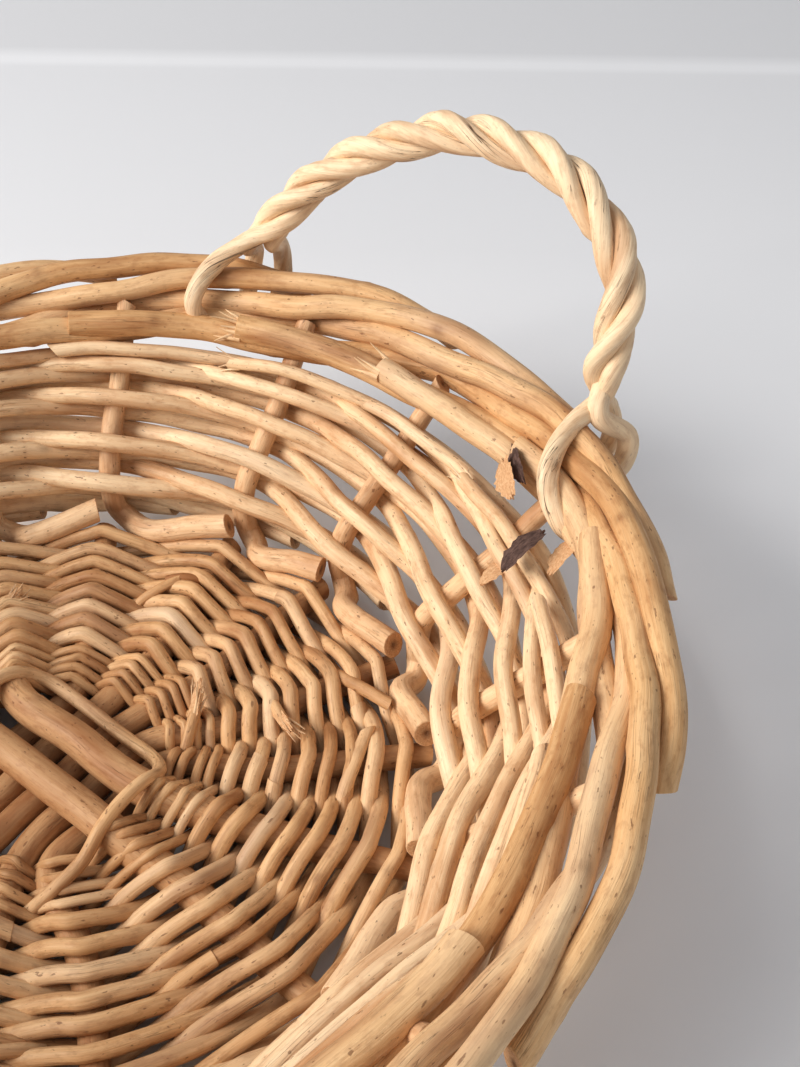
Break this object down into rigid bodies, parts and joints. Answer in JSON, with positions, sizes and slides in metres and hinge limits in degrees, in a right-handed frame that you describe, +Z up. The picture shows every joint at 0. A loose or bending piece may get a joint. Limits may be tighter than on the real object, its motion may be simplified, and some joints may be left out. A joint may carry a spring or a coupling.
{
  "type": "winnowing basket",
  "caption": "Round openwork willow basket with a flat twined base, flared sides, a rolled rod border and twisted rope handles on opposite sides.",
  "frame": {"origin": "on the ground under the middle of the basket's base", "axes": "+Z up; the two handles stand at +X and -X; the base sticks run along X"},
  "size_m": [0.4056, 0.3553, 0.1583],
  "materials": {
    "base_sticks": "peeled willow, satin, slightly worn",
    "base_weavers": "peeled willow, satin, slightly worn",
    "stakes": "peeled willow, satin, slightly worn",
    "side_weavers": "peeled willow, satin, slightly worn",
    "border_rods": "peeled willow, satin, slightly worn",
    "handle_strands": "peeled willow, satin, slightly worn"
  },
  "bodies": {
    "root": {"cross_stick_1": "base_sticks", "cross_stick_2": "base_sticks", "base_stick_1": "base_sticks", "base_stick_2": "base_sticks", "base_stick_3": "base_sticks", "base_stick_4": "base_sticks", "base_stick_5": "base_sticks", "slath_tie": "base_weavers", "base_weave_inner": "base_weavers", "base_weave_outer_1": "base_weavers", "base_weave_outer_2": "base_weavers", "base_closing_row": "base_weavers", "stake_01": "stakes", "stake_02": "stakes", "stake_03": "stakes", "stake_04": "stakes", "stake_05": "stakes", "stake_06": "stakes", "stake_07": "stakes", "stake_08": "stakes", "stake_09": "stakes", "stake_10": "stakes", "stake_11": "stakes", "stake_12": "stakes", "stake_13": "stakes", "stake_14": "stakes", "side_rod_01": "side_weavers", "side_rod_02": "side_weavers", "side_rod_03": "side_weavers", "side_rod_04": "side_weavers", "side_rod_05": "side_weavers", "side_rod_06": "side_weavers", "side_rod_07": "side_weavers", "side_rod_08": "side_weavers", "side_rod_09": "side_weavers", "side_rod_10": "side_weavers", "side_rod_11": "side_weavers", "side_rod_12": "side_weavers", "side_rod_13": "side_weavers", "side_rod_14": "side_weavers", "border_rod_01": "border_rods", "border_rod_02": "border_rods", "border_rod_03": "border_rods", "border_rod_04": "border_rods", "border_rod_05": "border_rods", "border_rod_06": "border_rods", "border_rod_07": "border_rods", "border_rod_08": "border_rods", "border_rod_09": "border_rods", "border_rod_10": "border_rods", "border_rod_11": "border_rods", "border_rod_12": "border_rods", "border_rod_13": "border_rods", "border_rod_14": "border_rods", "right_handle_strand_1": "handle_strands", "right_handle_strand_2": "handle_strands", "right_handle_strand_3": "handle_strands", "left_handle_strand_1": "handle_strands", "left_handle_strand_2": "handle_strands", "left_handle_strand_3": "handle_strands"}
  },
  "joints": []
}
